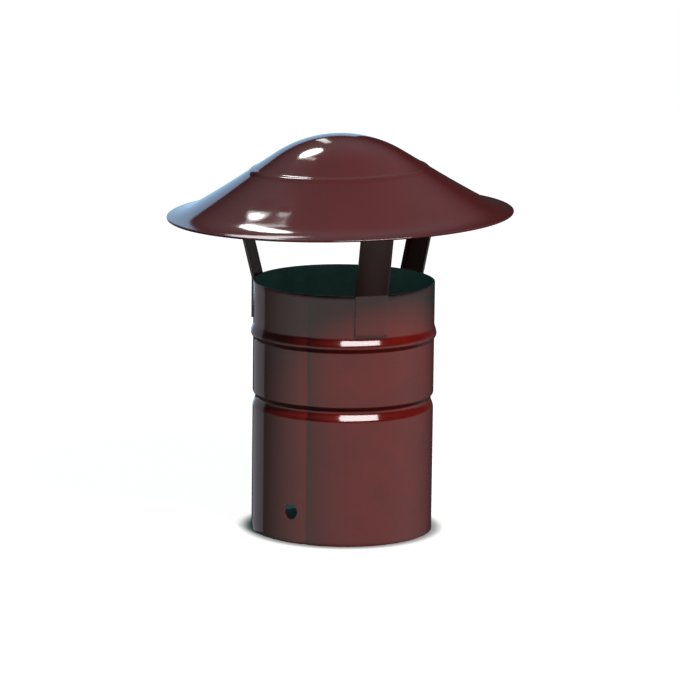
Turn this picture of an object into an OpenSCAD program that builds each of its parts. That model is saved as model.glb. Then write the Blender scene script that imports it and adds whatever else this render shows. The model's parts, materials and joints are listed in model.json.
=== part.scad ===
// Flue cowl in enamelled sheet steel: a beaded pipe, three bent straps and a spun hat.
// Millimetres. The origin is the centre of the pipe's bottom edge, +Z is up the flue.
// A bearing is an angle about the pipe's axis, from the front (-Y) towards the right (+X).

/* [Flue pipe] */
// Inside diameter of the pipe
pipe_bore_d = 120; // [90:1:180]
// Height of the pipe, bottom edge to top edge
pipe_h = 169; // [130:1:400]
// Thickness of the pipe's sheet
pipe_t = 0.8; // [0.6:0.1:1.5]

/* [Beads rolled into the pipe] */
// Drop from the pipe's top edge to the crest of the raised bead
rib_drop = 35; // [25:0.5:60]
// How far the raised bead stands out
rib_out = 1.5; // [0.5:0.1:3]
// Height of the raised bead's long upper flank
rib_above = 7; // [4:0.5:10]
// Height of the raised bead's short lower flank
rib_below = 4; // [3:0.5:10]
// Drop from the raised bead's crest to the bottom of the groove
groove_drop = 43.5; // [25:0.5:60]
// Depth of the groove
groove_in = 1.8; // [0.5:0.1:3]
// Height of the groove's short upper flank
groove_above = 4; // [3:0.5:10]
// Height of the groove's long lower flank
groove_below = 7; // [4:0.5:10]

/* [Seam and screw hole] */
// Bearing of the welded seam
seam_bearing = -23.5; // [-180:0.5:180]
// Width of the crease along the seam
seam_w = 2; // [1:0.5:5]
// Depth of the crease along the seam
seam_in = 0.3; // [0.1:0.05:0.4]
// Diameter of the screw hole
hole_d = 10; // [4:0.5:14]
// Height of the screw hole's centre above the bottom edge
hole_z = 21.3; // [12:0.1:30]
// Arc from the seam to the screw hole's centre, measured round the pipe
hole_from_seam = 11; // [9:0.5:60]

/* [Hat] */
// Diameter of the hat over its rim
hat_d = 232; // [190:1:400]
// Thickness of the hat's sheet
hat_t = 0.8; // [0.6:0.1:1.5]
// Height of the rim's lower edge above the pipe's top edge, at the hat's centre
hat_lift = 44.3; // [30:0.1:80]
// Diameter of the rim's rolled edge
hem_d = 1.6; // [1.4:0.1:3]
// Slope of the brim at the rim, in degrees
lip_slope = 9.6; // [2:0.1:20]
// Width over which the brim turns up into the cone
flare_w = 20; // [8:1:30]
// Slope of the cone, in degrees
cone_slope = 29.8; // [22:0.1:38]
// Slope of the cone where it meets the ring, in degrees
ring_slope = 33.6; // [22:0.1:40]
// Radius of the pressed ring between cone and dome
ring_r = 58.8; // [48:0.1:75]
// Width of the pressed ring
ring_w = 6; // [4:0.5:10]
// How far the pressed ring stands up
ring_up = 0.6; // [0.3:0.1:2]
// Slope of the dome where it meets the ring, in degrees
dome_slope = 32.6; // [20:0.1:36]
// Radius of the dome's rounded nose
nose_r = 80; // [40:1:81]
// How far the hat leans, in degrees
hat_tilt = 1.75; // [0:0.05:4]
// How far the hat's centre sits towards its low side
hat_shift = 3.4; // [0:0.1:6]
// Bearing of the hat's low side
hat_low_bearing = 257; // [0:1:360]

/* [Straps] */
// Bearing of each strap
strap_bearings = [17.3, 131, 255]; // [0:0.1:360]
// Width of a strap
strap_w = 22.5; // [15:0.5:40]
// Thickness of a strap
strap_t = 1.5; // [1:0.1:3]
// How far a strap's leg leans outwards, in degrees
strap_lean = 13.5; // [5:0.5:25]
// Length of the foot that a strap turns under the hat
strap_foot = 20; // [10:0.5:30]
// Clearance from a strap's lower end to the raised bead
strap_clear = 1; // [0.5:0.1:5]
// Gap at each spot-welded face
weld_gap = 0.1; // [0.05:0.05:0.3]

/* [Hidden] */
$fn = 96;
STRAPS = ["strap_front", "strap_right", "strap_left"];

enamel = "#6e2a2c";
enamel_dark = "#2b2624";

bore_r = pipe_bore_d / 2;
pipe_r = bore_r + pipe_t;
rib_z = pipe_h - rib_drop;
groove_z = rib_z - groove_drop;
seam_reach = 3;
cut_over = 1;
punch_l = 10;

hat_r = hat_d / 2;
hem_r = hem_d / 2;
brim_w = hat_r - hem_r - ring_r;
lip_rise = tan(lip_slope);
cone_rise = tan(cone_slope);
ring_rise = tan(ring_slope);
dome_rise = tan(dome_slope);
nose_edge_r = nose_r * sin(dome_slope);
low_side = [sin(hat_low_bearing), -cos(hat_low_bearing), 0];
low_across = [cos(hat_low_bearing), sin(hat_low_bearing), 0];
hat_centre = low_side * hat_shift + [0, 0, pipe_h + hat_lift];

strap_r = pipe_r + weld_gap;
strap_end_z = rib_z + rib_above + strap_clear;
strap_half_angle = asin(strap_w / 2 / (strap_r + strap_t / 2));
leg_up = [sin(strap_lean), cos(strap_lean)];
leg_out = [cos(strap_lean), -sin(strap_lean)];
leg_foot = [strap_r, pipe_h];
foot_tests = 10;

// Evenly spaced values from a to b, without a itself.
function spread(a, b, n) = [for (i = [1:n]) a + (b - a) * i / n];

// The same list back to front.
function reversed(list) = [for (i = [len(list) - 1:-1:0]) list[i]];

// A smooth bump of height 1 about centre, with flanks of its own height below and above.
function swell(z, centre, below, above) =
    let (t = z < centre ? (centre - z) / below : (z - centre) / above)
    t < 1 ? (1 + cos(180 * t)) / 2 : 0;

// Outer radius of the pipe at height z.
function pipe_outer(z) =
    pipe_r
    + rib_out * swell(z, rib_z, rib_below, rib_above)
    - groove_in * swell(z, groove_z, groove_below, groove_above);

// Heights at which the pipe's profile is drawn: close together only on the beads.
pipe_stations = concat(
    [0, groove_z - groove_below],
    spread(groove_z - groove_below, groove_z, 8),
    spread(groove_z, groove_z + groove_above, 6),
    [rib_z - rib_below],
    spread(rib_z - rib_below, rib_z, 6),
    spread(rib_z, rib_z + rib_above, 8),
    [pipe_h]
);

// Rise of the flare that turns the brim up into the cone, x in from the rim.
function flare(x) =
    x < flare_w ? x / 2 - flare_w / (2 * PI) * sin(180 * x / flare_w) : x - flare_w / 2;

// Height of the brim and cone above the rim's lower edge, x in from the rim.
function brim_z(x) =
    hem_d
    + lip_rise * x
    + (cone_rise - lip_rise) * flare(x)
    + (ring_rise - cone_rise) * pow(x, 3) / (3 * pow(brim_w, 2));

// Fall of the dome from its apex to radius r: a round nose, then a straight cone.
function dome_fall(r) =
    r < nose_edge_r
    ? nose_r - sqrt(pow(nose_r, 2) - pow(r, 2))
    : nose_r * (1 - cos(dome_slope)) + (r - nose_edge_r) * dome_rise;

// Height of the hat's outer face above the rim's lower edge, at radius r.
function hat_z(r) =
    (r < ring_r ? brim_z(brim_w) + dome_fall(ring_r) - dome_fall(r) : brim_z(hat_r - hem_r - r))
    + ring_up * swell(r, ring_r, ring_w / 2, ring_w / 2);

// Downward slope of the hat's outer face at radius r, in degrees.
function hat_slope(r) =
    let (step = 0.05)
    r < step ? 0 : atan((hat_z(r - step) - hat_z(r + step)) / (2 * step));

// A point on the hat's inner face, one sheet's thickness behind the outer face.
function hat_inner(r) = [r - hat_t * sin(hat_slope(r)), hat_z(r) - hat_t * cos(hat_slope(r))];

// Height of the hat's inner face straight above radius r.
function hat_under(r) = hat_z(r) - hat_t / cos(hat_slope(r));

// Radii at which the hat's profile is drawn, from the rim to the centre.
hat_stations = concat(
    spread(hat_r - hem_d - hem_r, hat_r - hem_r - flare_w, 12),
    spread(hat_r - hem_r - flare_w, ring_r + ring_w / 2, 8),
    spread(ring_r + ring_w / 2, ring_r - ring_w / 2, 10),
    spread(ring_r - ring_w / 2, nose_edge_r, 2),
    spread(nose_edge_r, 0, 16)
);

// Radius and height in the hat's own leaning frame of a point in the pipe's frame.
function in_hat(p) =
    let (
        d = p - hat_centre,
        along = d * low_side,
        across = d * low_across,
        x = along * cos(hat_tilt) - d.z * sin(hat_tilt)
    )
    [norm([x, across]), along * sin(hat_tilt) + d.z * cos(hat_tilt)];

// A point at radius x and height z on one edge of the strap at this bearing.
function strap_point(bearing, side, x, z) =
    let (edge = side * strap_w / 2)
    [x * sin(bearing) + edge * cos(bearing), -x * cos(bearing) + edge * sin(bearing), z];

// Height of the hat's inner face over that point, by repeated correction.
function roof(bearing, side, x, z, tries = 6) =
    tries == 0
    ? z
    : let (h = in_hat(strap_point(bearing, side, x, z)))
      roof(bearing, side, x, z + hat_under(h[0]) - h[1], tries - 1);

// Height of the strap's upper face where both its edges clear the hat's inner face.
function seat(bearing, x) =
    min(roof(bearing, -1, x, pipe_h + hat_lift), roof(bearing, 1, x, pipe_h + hat_lift)) - weld_gap;

// Length of the leg's outer face from the bend at the pipe's edge to the hat.
function leg_reach(bearing, s = 0, tries = 16) =
    let (p = leg_foot + leg_out * strap_t + leg_up * s)
    tries == 0 ? s : leg_reach(bearing, s + (seat(bearing, p.x) - p.y) / leg_up.y, tries - 1);

// Where the line through p along u meets the line through q along v.
function meet(p, u, q, v) = p + u * cross(q - p, v) / cross(u, v);

// Side outline of a strap's leg and foot, in the upright plane through the pipe's axis.
function strap_outline(bearing) =
    let (
        top = leg_foot + leg_out * strap_t + leg_up * leg_reach(bearing),
        tip_x = top.x - strap_foot * cos(cone_slope),
        heel = [top.x, seat(bearing, top.x)],
        toe = [tip_x, seat(bearing, tip_x)],
        sag = max([for (k = [0:foot_tests])
            let (p = heel + (toe - heel) * k / foot_tests) p.y - seat(bearing, p.x)]),
        run = (toe - heel) / norm(toe - heel),
        down = [-run.y, run.x],
        drop = [0, -sag],
        outer = leg_foot + leg_out * strap_t,
        under = heel + drop + down * strap_t,
        bend_z = pipe_h - strap_t * tan(strap_lean / 2)
    )
    [
        [strap_r, pipe_h - strap_t],
        leg_foot,
        meet(leg_foot, leg_up, under, run),
        toe + drop + down * strap_t,
        toe + drop,
        meet(outer, leg_up, heel + drop, run),
        [strap_r + strap_t, bend_z],
        [strap_r + strap_t, pipe_h - strap_t],
    ];

// Turns the +X axis to a bearing.
module face(bearing) {
    rotate([0, 0, bearing - 90]) children();
}

module pipe_wall() {
    rotate_extrude()
        polygon(concat(
            [for (z = pipe_stations) [pipe_outer(z), z]],
            [for (z = reversed(pipe_stations)) [pipe_outer(z) - pipe_t, z]]
        ));
}

module seam_crease() {
    crease_angle = seam_w / pipe_r * 180 / PI;
    between = [for (i = [1:len(pipe_stations) - 2]) pipe_stations[i]];
    stations = concat([-cut_over], between, [pipe_h + cut_over]);
    face(seam_bearing - crease_angle / 2)
        rotate_extrude(angle = crease_angle)
            polygon(concat(
                [for (z = stations) [pipe_outer(z) - seam_in, z]],
                [[pipe_r + seam_reach, pipe_h + cut_over], [pipe_r + seam_reach, -cut_over]]
            ));
}

module screw_hole() {
    face(seam_bearing - hole_from_seam / pipe_r * 180 / PI)
        translate([pipe_r, 0, hole_z])
            rotate([0, 90, 0])
                cylinder(h = punch_l, d = hole_d, center = true);
}

module flue_pipe() {
    color(enamel)
        difference() {
            pipe_wall();
            seam_crease();
            screw_hole();
        }
}

module hat_shell() {
    rolled_edge = [for (a = [90:-22.5:-180]) [hat_r - hem_r + hem_r * cos(a), hem_r + hem_r * sin(a)]];
    rotate_extrude()
        polygon(concat(
            rolled_edge,
            [for (r = hat_stations) hat_inner(r)],
            [for (r = reversed(hat_stations)) [r, hat_z(r)]]
        ));
}

module hat() {
    color(enamel)
        translate(hat_centre)
            face(hat_low_bearing)
                rotate([0, hat_tilt, 0])
                    hat_shell();
}

// The part of a strap that is curved to the pipe and welded to it.
module strap_tab() {
    rotate([0, 0, -strap_half_angle])
        rotate_extrude(angle = 2 * strap_half_angle)
            translate([strap_r, strap_end_z])
                square([strap_t, pipe_h - strap_end_z]);
}

module strap(bearing) {
    color(enamel_dark)
        face(bearing)
            union() {
                strap_tab();
                rotate([90, 0, 0])
                    linear_extrude(height = strap_w, center = true)
                        polygon(strap_outline(bearing));
            }
}

flue_pipe();
hat();
for (i = [0:len(STRAPS) - 1]) {
    strap(strap_bearings[i]);
}
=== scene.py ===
"""Flue cowl in glossy maroon enamel: a beaded pipe, three bent straps and a spun hat."""
import json
import math

import bpy
from mathutils import Matrix, Vector


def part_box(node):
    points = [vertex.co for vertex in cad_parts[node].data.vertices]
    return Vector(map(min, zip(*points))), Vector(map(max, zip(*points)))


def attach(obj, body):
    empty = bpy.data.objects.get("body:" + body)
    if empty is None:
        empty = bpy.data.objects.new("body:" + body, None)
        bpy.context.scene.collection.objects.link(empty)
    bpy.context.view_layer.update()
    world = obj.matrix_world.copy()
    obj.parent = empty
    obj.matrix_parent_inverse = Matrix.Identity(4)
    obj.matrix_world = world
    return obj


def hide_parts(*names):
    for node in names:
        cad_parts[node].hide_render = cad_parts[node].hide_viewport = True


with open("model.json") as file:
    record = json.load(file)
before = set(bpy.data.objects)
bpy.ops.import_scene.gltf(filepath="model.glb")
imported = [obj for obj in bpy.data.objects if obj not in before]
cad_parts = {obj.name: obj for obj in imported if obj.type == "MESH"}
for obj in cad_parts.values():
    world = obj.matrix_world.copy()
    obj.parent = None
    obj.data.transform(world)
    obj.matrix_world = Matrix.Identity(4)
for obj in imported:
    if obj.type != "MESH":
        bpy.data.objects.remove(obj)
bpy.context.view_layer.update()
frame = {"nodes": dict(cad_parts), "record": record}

MM = 0.001
UP = Vector((0, 0, 1))
AXIS_FOOT = (0, 0, 0)

mounts = {mount["name"]: mount for mount in frame["record"]["mounts"]}
pipe_low, pipe_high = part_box("flue_pipe")
hat_low, hat_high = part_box("hat")

# Flue pipe. Lengths are in metres, bearings in degrees from the front towards the right.
BORE_R = mounts["flue_bore"]["dims"]["r_mm"] * MM
PIPE_H = pipe_high.z
PIPE_T = 0.8 * MM
PIPE_R = BORE_R + PIPE_T
EDGE_ROUND = 0.12 * MM

RIB_Z = PIPE_H - 35 * MM
RIB_OUT = 1.5 * MM
RIB_ABOVE = 7 * MM
RIB_BELOW = 4 * MM
GROOVE_Z = RIB_Z - 43.5 * MM
GROOVE_IN = 1.8 * MM
GROOVE_ABOVE = 4 * MM
GROOVE_BELOW = 7 * MM

SEAM_BEARING = -23.5
SEAM_LEFT = 8 * MM
SEAM_RIGHT = 9 * MM
SEAM_IN = 0.9 * MM

# Painted light and shade beside the seam's crease, over this many degrees each side of it: place across that
# span, and brightness, lighter on the left and darker on the right.
SEAM_SHADING_SPAN = 20
SEAM_SHADING_ENDS = (0.33, 0.95)
SEAM_SHADING_STOPS = [(0.36, 1.1), (0.497, 1.12), (0.507, 0.62), (0.62, 0.74)]

HOLE_R = mounts["screw_hole"]["dims"]["r_mm"] * MM
PUNCH_L = 10 * MM

# Hat.
HAT_R = 116 * MM
HAT_T = 0.8 * MM
HEM_R = 0.8 * MM
HAT_LIFT = 44.3 * MM
FLARE_W = 20 * MM
LIP_RISE = math.tan(math.radians(9.6))
CONE_RISE = math.tan(math.radians(29.8))
RING_RISE = math.tan(math.radians(33.6))
DOME_SLOPE = math.radians(32.6)
NOSE_R = 80 * MM
RING_R = 58.8 * MM
RING_W = 6 * MM
RING_UP = 0.6 * MM
HAT_TILT = math.radians(1.75)
HAT_SHIFT = 3.4 * MM
HAT_LOW_BEARING = 257
HAT_TURNS = 320
BRIM_W = HAT_R - HEM_R - RING_R
NOSE_EDGE_R = NOSE_R * math.sin(DOME_SLOPE)

# Shallow dents in the hat: bearing, distance from its centre, reach and depth.
HAT_DENTS = [
    (-37, 85 * MM, 13 * MM, 0.45 * MM),
    (-25, 86 * MM, 6 * MM, 0.12 * MM),
]

# Straps.
STRAPS = {"strap_front": 17.3, "strap_right": 131, "strap_left": 255}
STRAP_W = 22.5 * MM
STRAP_T = 1.5 * MM
WELD_GAP = 0.1 * MM
STRAP_EDGE_ROUND = 0.3 * MM
STRAP_COLUMNS = 12
STRAP_ROWS = 8
BEND_R = 3 * MM
HUG_FADE = 12 * MM


# ---------- small helpers ----------

def bearing_vector(bearing):
    """Unit vector from the pipe's axis towards a bearing in degrees."""
    angle = math.radians(bearing)
    return Vector((math.sin(angle), -math.cos(angle), 0))


def bearing_of(point):
    """Bearing in degrees of a point about the pipe's axis."""
    return math.degrees(math.atan2(point[0], -point[1]))


def deselect():
    """Leaves no object selected."""
    if bpy.context.object and bpy.context.object.mode != "OBJECT":
        bpy.ops.object.mode_set(mode="OBJECT")
    bpy.ops.object.select_all(action="DESELECT")


def pick(piece):
    """Selects one object alone and makes it active."""
    deselect()
    piece.select_set(True)
    bpy.context.view_layer.objects.active = piece


def spread(a, b, n):
    """n evenly spaced values after a, up to and including b."""
    return [a + (b - a) * i / n for i in range(1, n + 1)]


def swell(z, centre, below, above):
    """A smooth bump of height 1, with flanks of its own length on each side of centre."""
    t = (centre - z) / below if z < centre else (z - centre) / above
    return (1 + math.cos(math.pi * t)) / 2 if t < 1 else 0.0


def draw_chain(name, points):
    """A chain of edges through points, drawn by extruding one vertex after another."""
    deselect()
    bpy.ops.mesh.primitive_plane_add(size=MM, location=AXIS_FOOT)
    chain = bpy.context.object
    chain.name = name
    bpy.ops.object.mode_set(mode="EDIT")
    bpy.ops.mesh.select_all(action="SELECT")
    bpy.ops.mesh.merge(type="CENTER")
    bpy.ops.transform.translate(value=points[0])
    for here, there in zip(points, points[1:]):
        step = Vector(there) - Vector(here)
        bpy.ops.mesh.extrude_vertices_move(TRANSFORM_OT_translate={"value": step})
    bpy.ops.mesh.select_all(action="SELECT")
    bpy.ops.object.mode_set(mode="OBJECT")
    return chain


def turn(piece, arcs):
    """Spins the selected chain round the Z axis through (degrees, steps) arcs, one after another."""
    pick(piece)
    bpy.ops.object.mode_set(mode="EDIT")
    for degrees, steps in arcs:
        bpy.ops.mesh.spin(
            steps=steps, angle=math.radians(degrees), center=AXIS_FOOT, axis=UP, use_auto_merge=False
        )
    close_up(piece)


def close_up(piece):
    """Merges doubled vertices and points the faces outwards."""
    pick(piece)
    bpy.ops.object.mode_set(mode="EDIT")
    bpy.ops.mesh.select_all(action="SELECT")
    bpy.ops.mesh.remove_doubles(threshold=0.01 * MM)
    bpy.ops.mesh.normals_make_consistent(inside=False)
    bpy.ops.object.mode_set(mode="OBJECT")


def select_where(piece, test):
    """Leaves exactly the vertices that pass the test selected."""
    mesh = piece.data
    mesh.polygons.foreach_set("select", [False] * len(mesh.polygons))
    mesh.edges.foreach_set("select", [False] * len(mesh.edges))
    chosen = [bool(test(vertex.co)) for vertex in mesh.vertices]
    mesh.vertices.foreach_set("select", chosen)


def finish_with(piece, kind, **settings):
    """Adds a modifier with these settings and applies it."""
    pick(piece)
    modifier = piece.modifiers.new(kind.title(), kind)
    for key, value in settings.items():
        setattr(modifier, key, value)
    bpy.ops.object.modifier_apply(modifier=modifier.name)


def smooth(piece, degrees=35):
    """Smooth shading, with edges sharper than this left crisp."""
    pick(piece)
    bpy.ops.object.shade_smooth_by_angle(angle=math.radians(degrees))


# ---------- flue pipe ----------

def pipe_outer(z):
    """Outer radius of the pipe at height z."""
    rib = RIB_OUT * swell(z, RIB_Z, RIB_BELOW, RIB_ABOVE)
    groove = GROOVE_IN * swell(z, GROOVE_Z, GROOVE_BELOW, GROOVE_ABOVE)
    return PIPE_R + rib - groove


def pipe_heights():
    """Heights of the rows of the pipe's mesh: close together on the beads."""
    heights = [0]
    heights += spread(0, GROOVE_Z - GROOVE_BELOW, 22)
    heights += spread(GROOVE_Z - GROOVE_BELOW, GROOVE_Z, 12)
    heights += spread(GROOVE_Z, GROOVE_Z + GROOVE_ABOVE, 10)
    heights += spread(GROOVE_Z + GROOVE_ABOVE, RIB_Z - RIB_BELOW, 10)
    heights += spread(RIB_Z - RIB_BELOW, RIB_Z, 10)
    heights += spread(RIB_Z, RIB_Z + RIB_ABOVE, 12)
    heights += spread(RIB_Z + RIB_ABOVE, PIPE_H, 8)
    return heights


def seam_depth(offset):
    """How far the sheet is pulled in at an arc's distance from the seam, + to the right."""
    width = SEAM_RIGHT if offset > 0 else SEAM_LEFT
    closeness = max(0.0, 1 - abs(offset) / width)
    return SEAM_IN * closeness ** 2


def make_pipe(outside, inside):
    """The rolled pipe: spun wall, creased seam, sheet thickness, screw hole and rounded edges."""
    to_degrees = 180 / math.pi / PIPE_R
    start = SEAM_BEARING - SEAM_LEFT * to_degrees
    near = (SEAM_LEFT + SEAM_RIGHT) * to_degrees
    outward = bearing_vector(start)
    pipe = draw_chain("flue_pipe_enamel", [outward * pipe_outer(z) + UP * z for z in pipe_heights()])
    turn(pipe, [(near, 42), (360 - near, 222)])

    # The crease: each column of vertices near the seam is drawn in towards the axis.
    columns = sorted({round(bearing_of(v.co), 3) for v in pipe.data.vertices})
    for column in columns:
        offset = (column - SEAM_BEARING) / to_degrees
        depth = seam_depth(offset)
        if depth <= 0:
            continue
        select_where(pipe, lambda co: abs(bearing_of(co) - column) < 0.01)
        shrink = 1 - depth / PIPE_R
        bpy.ops.object.mode_set(mode="EDIT")
        bpy.ops.transform.resize(value=(shrink, shrink, 1), center_override=AXIS_FOOT)
        bpy.ops.object.mode_set(mode="OBJECT")

    pipe.data.materials.append(outside)
    pipe.data.materials.append(inside)
    finish_with(
        pipe,
        "SOLIDIFY",
        thickness=PIPE_T,
        offset=-1,
        use_even_offset=True,
        material_offset=1,
        material_offset_rim=1,
    )

    hole = mounts["screw_hole"]
    outward = Vector(hole["axis"])
    deselect()
    bpy.ops.mesh.primitive_cylinder_add(
        vertices=48,
        radius=HOLE_R,
        depth=PUNCH_L,
        location=Vector(hole["pos_m"]),
        rotation=outward.to_track_quat("Z", "Y").to_euler(),
    )
    punch = bpy.context.object
    finish_with(pipe, "BOOLEAN", operation="DIFFERENCE", object=punch, solver="EXACT")
    bpy.data.objects.remove(punch)
    finish_with(
        pipe, "BEVEL", width=EDGE_ROUND, segments=2, limit_method="ANGLE", angle_limit=math.radians(60)
    )
    smooth(pipe)
    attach(pipe, "root")
    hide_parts("flue_pipe")


# ---------- hat ----------

def flare(x):
    """Rise of the flare that turns the brim up into the cone, x in from the rim."""
    if x > FLARE_W:
        return x - FLARE_W / 2
    return x / 2 - FLARE_W / (2 * math.pi) * math.sin(math.pi * x / FLARE_W)


def brim_z(x):
    """Height of the brim and cone above the rim's lower edge, x in from the rim."""
    steepening = (RING_RISE - CONE_RISE) * x ** 3 / (3 * BRIM_W ** 2)
    return 2 * HEM_R + LIP_RISE * x + (CONE_RISE - LIP_RISE) * flare(x) + steepening


def dome_fall(r):
    """Fall of the dome from its apex to radius r: a round nose, then a straight cone."""
    if r < NOSE_EDGE_R:
        return NOSE_R - math.sqrt(NOSE_R ** 2 - r ** 2)
    return NOSE_R * (1 - math.cos(DOME_SLOPE)) + (r - NOSE_EDGE_R) * math.tan(DOME_SLOPE)


def hat_z(r):
    """Height of the hat's outer face above the rim's lower edge, at radius r."""
    if r < RING_R:
        base = brim_z(BRIM_W) + dome_fall(RING_R) - dome_fall(r)
    else:
        base = brim_z(HAT_R - HEM_R - r)
    return base + RING_UP * swell(r, RING_R, RING_W / 2, RING_W / 2)


def hat_inner(r):
    """A point (radius, height) on the hat's inner face, one thickness behind the outer face."""
    step = 0.05 * MM
    slope = 0 if r < step else math.atan((hat_z(r - step) - hat_z(r + step)) / (2 * step))
    return r - HAT_T * math.sin(slope), hat_z(r) - HAT_T * math.cos(slope)


def hat_radii():
    """Radii of the rows of the hat's mesh, from the rim to the centre."""
    radii = spread(HAT_R - HEM_R, HAT_R - FLARE_W, 22)
    radii += spread(HAT_R - FLARE_W, RING_R + RING_W / 2, 26)
    radii += spread(RING_R + RING_W / 2, RING_R - RING_W / 2, 20)
    radii += spread(RING_R - RING_W / 2, NOSE_EDGE_R, 4)
    radii += spread(NOSE_EDGE_R, 0, 20)
    return radii


def dent(piece, bearing, r, reach, depth):
    """Pushes both faces of the sheet down round one place, fading to nothing at its reach."""
    pick(piece)
    spot = bearing_vector(bearing) * r
    spot.z = hat_z(r)
    nearest = min(piece.data.vertices, key=lambda v: (v.co - spot).length)
    select_where(piece, lambda co: co == nearest.co)
    bpy.ops.object.mode_set(mode="EDIT")
    bpy.ops.transform.translate(
        value=(0, 0, -depth),
        use_proportional_edit=True,
        proportional_edit_falloff="SMOOTH",
        proportional_size=reach,
    )
    bpy.ops.object.mode_set(mode="OBJECT")


def make_hat():
    """The spun hat: one closed outline of outer face, rolled edge and inner face, turned once round."""
    radii = hat_radii()
    outer = [(r, hat_z(r)) for r in reversed(radii)]
    rolled_edge = []
    for i in range(13):
        angle = math.pi / 2 - math.pi * 1.5 * i / 12
        rolled_edge.append((HAT_R - HEM_R + HEM_R * math.cos(angle), HEM_R + HEM_R * math.sin(angle)))
    inner = [hat_inner(r) for r in radii if r < HAT_R - 4 * HEM_R]
    outline = outer + rolled_edge + inner
    hat = draw_chain("hat_enamel", [(r, 0, z) for r, z in outline])
    turn(hat, [(360, HAT_TURNS)])
    for bearing, r, reach, depth in HAT_DENTS:
        dent(hat, bearing, r, reach, depth)

    low_side = bearing_vector(HAT_LOW_BEARING)
    lean = Matrix.Rotation(HAT_TILT, 4, UP.cross(low_side))
    place = Matrix.Translation(low_side * HAT_SHIFT + UP * (PIPE_H + HAT_LIFT))
    hat.matrix_world = place @ lean
    pick(hat)
    bpy.ops.object.transform_apply(location=True, rotation=True, scale=True)
    smooth(hat)
    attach(hat, "root")
    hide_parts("hat")
    return hat


# ---------- straps ----------

def rounded(points, radius, steps=6):
    """The same path with an arc of this radius at every inner corner."""
    path = [points[0]]
    for before, corner, after in zip(points, points[1:], points[2:]):
        back = (before - corner).normalized()
        ahead = (after - corner).normalized()
        half = back.angle(ahead) / 2
        inset = radius / math.tan(half)
        centre = corner + (back + ahead).normalized() * radius / math.sin(half)
        arm_in = (corner + back * inset - centre).normalized()
        arm_out = (corner + ahead * inset - centre).normalized()
        for i in range(steps + 1):
            path.append(centre + arm_in.slerp(arm_out, i / steps) * radius)
    path.append(points[-1])
    return path


def make_strap(node, bearing):
    """A bent strap: its side outline drawn on the outer face, widened, curved to the pipe, thickened."""
    outward = bearing_vector(bearing)
    across = UP.cross(outward)
    corners = [v.co for v in frame["nodes"][node].data.vertices]
    heel = max(corners, key=lambda co: co.dot(outward))
    toe = max(corners, key=lambda co: co.z)
    low = min(co.z for co in corners)
    face_r = PIPE_R + WELD_GAP + STRAP_T
    path = [
        outward * face_r + UP * low,
        outward * face_r + UP * PIPE_H,
        outward * heel.dot(outward) + UP * heel.z,
        outward * toe.dot(outward) + UP * toe.z,
    ]
    rows = rounded(path, BEND_R)
    tab_rows = [rows[0].lerp(rows[1], i / STRAP_ROWS) for i in range(STRAP_ROWS)]
    leg_at = next(i for i, p in enumerate(rows) if p.z > PIPE_H) + 1
    leg_rows = [rows[leg_at].lerp(rows[leg_at + 1], i / STRAP_ROWS) for i in range(1, STRAP_ROWS)]
    rows = tab_rows + rows[1:leg_at + 1] + leg_rows + rows[leg_at + 1:]
    strap = draw_chain(node + "_enamel", [p - across * STRAP_W / 2 for p in rows])

    pick(strap)
    bpy.ops.object.mode_set(mode="EDIT")
    bpy.ops.mesh.select_all(action="SELECT")
    for _ in range(STRAP_COLUMNS):
        step = across * STRAP_W / STRAP_COLUMNS
        bpy.ops.mesh.extrude_region_move(TRANSFORM_OT_translate={"value": step})
    bpy.ops.object.mode_set(mode="OBJECT")
    close_up(strap)

    # The tab hugs the pipe; the curve fades out a little above the pipe's edge.
    heights = sorted({round(v.co.z, 6) for v in strap.data.vertices})
    for column in range(STRAP_COLUMNS + 1):
        side = (column / STRAP_COLUMNS - 0.5) * STRAP_W
        sag = face_r - math.sqrt(face_r ** 2 - side ** 2)
        for height in heights:
            hug = min(1.0, max(0.0, 1 - (height - PIPE_H) / HUG_FADE))
            if sag * hug <= 0:
                continue
            select_where(
                strap, lambda co: abs(co.z - height) < 1e-6 and abs(co.dot(across) - side) < 0.1 * MM
            )
            bpy.ops.object.mode_set(mode="EDIT")
            bpy.ops.transform.translate(value=-outward * sag * hug)
            bpy.ops.object.mode_set(mode="OBJECT")
    finish_with(strap, "SOLIDIFY", thickness=STRAP_T, offset=-1, use_even_offset=True)
    finish_with(
        strap, "BEVEL", width=STRAP_EDGE_ROUND, segments=2, limit_method="ANGLE", angle_limit=math.radians(50)
    )
    smooth(strap)
    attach(strap, "root")
    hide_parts(node)
    return strap


# ---------- enamel ----------

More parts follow.
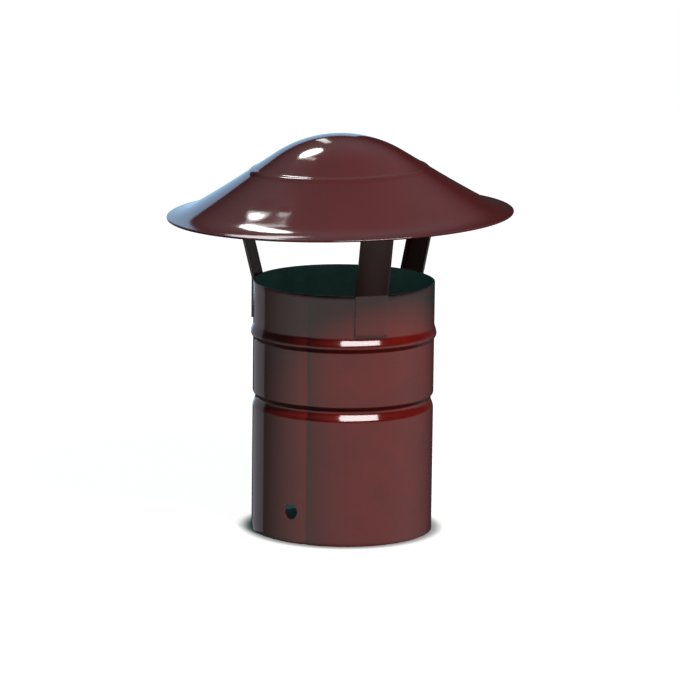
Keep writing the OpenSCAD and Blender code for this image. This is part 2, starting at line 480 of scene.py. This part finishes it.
def enamel(name, colour, mottle, gloss, coat=1):
    """Stove enamel: an uneven base under a clear gloss with a faint orange peel."""
    material = bpy.data.materials.new(name)
    material.use_nodes = True
    nodes = material.node_tree.nodes
    links = material.node_tree.links
    shader = nodes["Principled BSDF"]
    place = nodes.new("ShaderNodeTexCoord")

    clouds = nodes.new("ShaderNodeTexNoise")
    clouds.inputs["Scale"].default_value = 38
    clouds.inputs["Detail"].default_value = 6
    clouds.inputs["Roughness"].default_value = 0.6
    links.new(place.outputs["Object"], clouds.inputs["Vector"])
    tint = nodes.new("ShaderNodeValToRGB")
    tint.color_ramp.elements[0].position = 0.3
    tint.color_ramp.elements[1].position = 0.72
    tint.color_ramp.elements[0].color = (*[c * (1 - mottle) for c in colour], 1)
    tint.color_ramp.elements[1].color = (*[c * (1 + mottle) for c in colour], 1)
    links.new(clouds.outputs["Fac"], tint.inputs["Fac"])
    links.new(tint.outputs["Color"], shader.inputs["Base Color"])

    peel = nodes.new("ShaderNodeTexNoise")
    peel.inputs["Scale"].default_value = 520
    peel.inputs["Detail"].default_value = 2
    links.new(place.outputs["Object"], peel.inputs["Vector"])
    bump = nodes.new("ShaderNodeBump")
    bump.inputs["Strength"].default_value = 0.06
    bump.inputs["Distance"].default_value = 0.2 * MM
    links.new(peel.outputs["Fac"], bump.inputs["Height"])
    links.new(bump.outputs["Normal"], shader.inputs["Normal"])
    links.new(bump.outputs["Normal"], shader.inputs["Coat Normal"])

    shader.inputs["Roughness"].default_value = 0.62
    shader.inputs["Specular IOR Level"].default_value = 0
    shader.inputs["Coat Weight"].default_value = coat
    shader.inputs["Coat IOR"].default_value = 1.5
    shader.inputs["Coat Roughness"].default_value = gloss
    return material


def paint_seam_shading(material):
    """Paints light on the left of the seam's crease and shade on its right, multiplied into the base colour
    as light falling on the creased sheet would show it.
    """
    nodes = material.node_tree.nodes
    links = material.node_tree.links
    around = nodes.new("ShaderNodeSeparateXYZ")
    links.new(nodes["Texture Coordinate"].outputs["Object"], around.inputs["Vector"])
    backwards = nodes.new("ShaderNodeMath")
    backwards.operation = "MULTIPLY"
    backwards.inputs[1].default_value = -1
    links.new(around.outputs["Y"], backwards.inputs[0])
    bearing = nodes.new("ShaderNodeMath")
    bearing.operation = "ARCTAN2"
    links.new(around.outputs["X"], bearing.inputs[0])
    links.new(backwards.outputs["Value"], bearing.inputs[1])
    across = nodes.new("ShaderNodeMapRange")
    across.inputs["From Min"].default_value = math.radians(SEAM_BEARING - SEAM_SHADING_SPAN)
    across.inputs["From Max"].default_value = math.radians(SEAM_BEARING + SEAM_SHADING_SPAN)
    links.new(bearing.outputs["Value"], across.inputs["Value"])
    light_shade_ramp = nodes.new("ShaderNodeValToRGB")
    stops = light_shade_ramp.color_ramp.elements
    stops[0].position = SEAM_SHADING_ENDS[0]
    stops[0].color = (1, 1, 1, 1)
    stops[1].position = SEAM_SHADING_ENDS[1]
    stops[1].color = (1, 1, 1, 1)
    # Stops above 1 are painted light left of the seam; stops below 1 are painted shade to its right.
    for position, shade in SEAM_SHADING_STOPS:
        stop = stops.new(position)
        stop.color = (shade, shade, shade, 1)
    links.new(across.outputs["Result"], light_shade_ramp.inputs["Fac"])
    seam_shaded = nodes.new("ShaderNodeMix")
    seam_shaded.data_type = "RGBA"
    seam_shaded.blend_type = "MULTIPLY"
    seam_shaded.inputs["Factor"].default_value = 1
    links.new(nodes["Color Ramp"].outputs["Color"], seam_shaded.inputs[6])
    links.new(light_shade_ramp.outputs["Color"], seam_shaded.inputs[7])
    links.new(seam_shaded.outputs[2], nodes["Principled BSDF"].inputs["Base Color"])
    return material


def coat_with(piece, material):
    """Gives a whole piece one enamel."""
    piece.data.materials.clear()
    piece.data.materials.append(material)


# ---------- camera, floor and light ----------

AIM = Vector((-2.4 * MM, 0, 128 * MM))
CAMERA_ELEVATION = 11.03
CAMERA_ROLL = math.radians(0.7)
CAMERA_DISTANCE = 3.0
LENS = 236.65
FLOOR_W = 12
FLOOR_GLOW = 0.96


def direction(bearing, elevation):
    """Unit vector from the cowl towards a bearing and an elevation in degrees."""
    height = math.radians(elevation)
    return bearing_vector(bearing) * math.cos(height) + UP * math.sin(height)


def make_camera():
    """A long lens a little above the pipe's top edge."""
    away = direction(0, CAMERA_ELEVATION)
    data = bpy.data.cameras.new("camera")
    data.sensor_width = 36
    data.lens = LENS
    data.clip_end = 50
    camera = bpy.data.objects.new("camera", data)
    bpy.context.scene.collection.objects.link(camera)
    facing = (-away).to_track_quat("-Z", "Y").to_matrix().to_4x4()
    roll = Matrix.Rotation(CAMERA_ROLL, 4, "Z")
    camera.matrix_world = Matrix.Translation(AIM + away * CAMERA_DISTANCE) @ facing @ roll
    bpy.context.scene.camera = camera


def softbox(
    name, bearing, elevation, width, height, radiance, colour, distance, sees, shape="RECTANGLE"
):
    """A flat light for gloss or for diffuse only; width and height are its angles from the cowl."""
    data = bpy.data.lights.new(name, "AREA")
    data.shape = shape
    data.size = 2 * distance * math.tan(math.radians(width / 2))
    data.size_y = 2 * distance * math.tan(math.radians(height / 2))
    data.energy = radiance * math.pi * data.size * data.size_y
    data.color = colour
    light = bpy.data.objects.new(name, data)
    bpy.context.scene.collection.objects.link(light)
    place = direction(bearing, elevation)
    light.location = AIM + place * distance
    light.rotation_mode = "QUATERNION"
    light.rotation_quaternion = place.to_track_quat("Z", "Y")
    light.visible_camera = False
    light.visible_glossy = sees != "diffuse"
    light.visible_diffuse = sees != "gloss"


def make_lights():
    """One key light for the colour, and the bright shapes that the enamel mirrors."""
    white = (1, 1, 1)
    warm = (1, 0.95, 0.9)
    sky = (0.42, 0.7, 1)
    softbox("key", 33, 47.8, 10, 9, 82, warm, 1.6, "diffuse")
    softbox("front strip", 22, 26, 46, 18, 20, white, 2.0, "gloss")
    softbox("round lamp", -156.7, 49, 12, 12, 12, white, 3.0, "gloss", "DISK")
    softbox("window", -147.5, 54, 2.5, 14, 4.2, white, 3.0, "gloss")
    softbox("door", -173, 32, 2.5, 14, 3.5, white, 3.0, "gloss")
    softbox("sky", -171, 5, 24, 30, 1.15, sky, 3.0, "gloss")
    softbox("left wall", -140, -6, 40, 30, 0.42, (0.9, 0.88, 1), 3.0, "gloss")


def scaled(nodes, links, value, low, high, colour):
    """A colour times a value that is 0 at low and 1 at high."""
    fade = nodes.new("ShaderNodeMapRange")
    fade.interpolation_type = "SMOOTHSTEP"
    fade.inputs["From Min"].default_value = low
    fade.inputs["From Max"].default_value = high
    links.new(value, fade.inputs["Value"])
    tinted = nodes.new("ShaderNodeVectorMath")
    tinted.operation = "SCALE"
    if isinstance(colour, tuple):
        tinted.inputs[0].default_value = colour
    else:
        links.new(colour, tinted.inputs[0])
    links.new(fade.outputs["Result"], tinted.inputs["Scale"])
    return tinted.outputs["Vector"]


def towards(nodes, links, axis):
    """How nearly each direction points along an axis: the cosine of the angle between them."""
    look = nodes.new("ShaderNodeVectorMath")
    look.operation = "DOT_PRODUCT"
    look.inputs[1].default_value = axis
    links.new(nodes["Texture Coordinate"].outputs["Generated"], look.inputs[0])
    return look.outputs["Value"]


def total_of(nodes, links, parts):
    """The sum of colours."""
    total = parts[0]
    for part in parts[1:]:
        adder = nodes.new("ShaderNodeVectorMath")
        adder.operation = "ADD"
        links.new(total, adder.inputs[0])
        links.new(part, adder.inputs[1])
        total = adder.outputs["Vector"]
    return total


def sine(degrees):
    """Sine of an angle in degrees."""
    return math.sin(math.radians(degrees))


def make_surroundings():
    """The dim room that the enamel mirrors, a faint ambient light and a white backdrop."""
    world = bpy.data.worlds.new("room")
    bpy.context.scene.world = world
    world.use_nodes = True
    nodes = world.node_tree.nodes
    links = world.node_tree.links
    nodes.clear()
    nodes.new("ShaderNodeTexCoord")
    height = towards(nodes, links, UP)
    forward = towards(nodes, links, direction(12, 0))
    ground = scaled(nodes, links, forward, -0.95, 0.5, (0.95, 0.93, 0.9))
    ground = scaled(nodes, links, height, sine(-42), sine(-20), ground)
    ground = scaled(nodes, links, height, sine(8), sine(-8), ground)
    ceiling = scaled(nodes, links, height, sine(15), sine(55), (0.42, 0.42, 0.44))
    everywhere = scaled(nodes, links, height, -2, -1, (0.03, 0.035, 0.035))
    mirrored = nodes.new("ShaderNodeBackground")
    links.new(total_of(nodes, links, [ground, ceiling, everywhere]), mirrored.inputs["Color"])
    ambient = nodes.new("ShaderNodeBackground")
    ambient.inputs["Color"].default_value = (0.28, 1, 0.95, 1)
    ambient.inputs["Strength"].default_value = 0.22
    backdrop = nodes.new("ShaderNodeBackground")
    backdrop.inputs["Color"].default_value = (1, 1, 1, 1)
    path = nodes.new("ShaderNodeLightPath")
    by_gloss = nodes.new("ShaderNodeMixShader")
    links.new(path.outputs["Is Glossy Ray"], by_gloss.inputs["Fac"])
    links.new(ambient.outputs["Background"], by_gloss.inputs[1])
    links.new(mirrored.outputs["Background"], by_gloss.inputs[2])
    by_camera = nodes.new("ShaderNodeMixShader")
    links.new(path.outputs["Is Camera Ray"], by_camera.inputs["Fac"])
    links.new(by_gloss.outputs["Shader"], by_camera.inputs[1])
    links.new(backdrop.outputs["Background"], by_camera.inputs[2])
    output = nodes.new("ShaderNodeOutputWorld")
    links.new(by_camera.outputs["Shader"], output.inputs["Surface"])


def make_floor():
    """A plain pale floor that the enamel doesn't mirror."""
    deselect()
    bpy.ops.mesh.primitive_plane_add(size=FLOOR_W, location=AXIS_FOOT)
    floor = bpy.context.object
    floor.name = "floor"
    material = bpy.data.materials.new("pale floor")
    material.use_nodes = True
    shader = material.node_tree.nodes["Principled BSDF"]
    shader.inputs["Base Color"].default_value = (0.5, 0.5, 0.5, 1)
    shader.inputs["Roughness"].default_value = 0.9
    shader.inputs["Specular IOR Level"].default_value = 0
    shader.inputs["Emission Color"].default_value = (1, 0.95, 0.95, 1)

    # The floor's own glow keeps it pale; it dies away under the pipe and close round it, a painted shadow
    # inside the pipe and round its foot.
    nodes = material.node_tree.nodes
    links = material.node_tree.links
    place = nodes.new("ShaderNodeTexCoord")
    away = nodes.new("ShaderNodeVectorMath")
    away.operation = "LENGTH"
    links.new(place.outputs["Object"], away.inputs[0])
    fade = nodes.new("ShaderNodeMapRange")
    fade.inputs["From Min"].default_value = PIPE_R
    fade.inputs["From Max"].default_value = PIPE_R * 1.2
    fade.inputs["To Max"].default_value = FLOOR_GLOW
    fade.interpolation_type = "SMOOTHSTEP"
    links.new(away.outputs["Value"], fade.inputs["Value"])
    links.new(fade.outputs["Result"], shader.inputs["Emission Strength"])
    coat_with(floor, material)
    floor.visible_glossy = False
    floor.visible_diffuse = False


hat_maroon = (0.11, 0.0055, 0.0065)
pipe_maroon = (0.2, 0.0075, 0.006)
# The straps' maroon is darker and greyer than the pipe's: painted shade for the hat's shadow that the straps
# stand in.
shaded_strap_maroon = (0.17, 0.011, 0.01)
soot = (0.35, 0.35, 0.33)
make_pipe(
    paint_seam_shading(enamel("maroon_pipe_enamel", pipe_maroon, 0.15, 0.1)),
    enamel("dark_inner_enamel", soot, 0.2, 0.3, 0.25),
)
hat = make_hat()
coat_with(hat, enamel("maroon_hat_enamel", hat_maroon, 0.08, 0.08))
strap_enamel = enamel("maroon_strap_enamel", shaded_strap_maroon, 0.1, 0.14)
for node, bearing in STRAPS.items():
    coat_with(make_strap(node, bearing), strap_enamel)

make_camera()
make_floor()
make_lights()
make_surroundings()
bpy.context.scene.view_settings.view_transform = "Standard"
